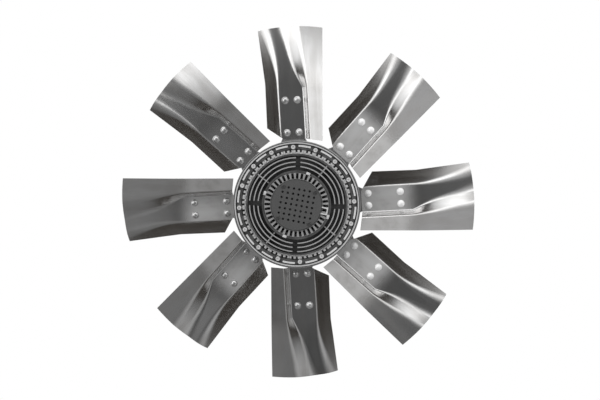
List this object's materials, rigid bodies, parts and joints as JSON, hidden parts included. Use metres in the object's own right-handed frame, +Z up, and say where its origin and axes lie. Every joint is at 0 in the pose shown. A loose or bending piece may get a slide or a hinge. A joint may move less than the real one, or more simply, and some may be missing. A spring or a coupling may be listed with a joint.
{
  "type": "axial fan impeller",
  "caption": "Metal axial fan impeller: pressed twisted blades riveted to a spider round a finned hub with a keyed shaft bore.",
  "frame": {"origin": "centre of the shaft bore in the rear face of the bush", "axes": "+Y along the shaft axis, out of the bore to the rear, so the finned front faces -Y; +Z up along one blade"},
  "size_m": [0.704, 0.0814, 0.704],
  "materials": {
    "blade_sheet": "satin pressed sheet with a lengthwise grain",
    "rivet_steel": "bright plated round heads",
    "spider_steel": "plain steel plate",
    "hub_casting": "machined bright rim on a cast body",
    "cover_casting": "dull casting, fin edges brighter",
    "ring_casting": "dull casting with bright raised arcs",
    "vent_metal": "dull metal",
    "plate_metal": "dark satin plate",
    "bush_steel": "turned steel",
    "screw_steel": "zinc plated",
    "clip_steel": "bright spring steel",
    "gasket_rubber": "black, hidden between the castings"
  },
  "bodies": {
    "root": {"blade_1": "blade_sheet", "blade_2": "blade_sheet", "blade_3": "blade_sheet", "blade_4": "blade_sheet", "blade_5": "blade_sheet", "blade_6": "blade_sheet", "blade_7": "blade_sheet", "blade_8": "blade_sheet", "blade_rivets": "rivet_steel", "spider": "spider_steel", "hub_body": "hub_casting", "finned_cover": "cover_casting", "screw_ring": "ring_casting", "vent_ring": "vent_metal", "middle_plate": "plate_metal", "shaft_bush": "bush_steel", "ring_screws": "screw_steel", "plate_screws": "screw_steel", "spider_screws": "screw_steel", "bush_screws": "screw_steel", "retaining_clips": "clip_steel", "balance_clip": "clip_steel", "cover_gasket": "gasket_rubber"}
  },
  "joints": []
}
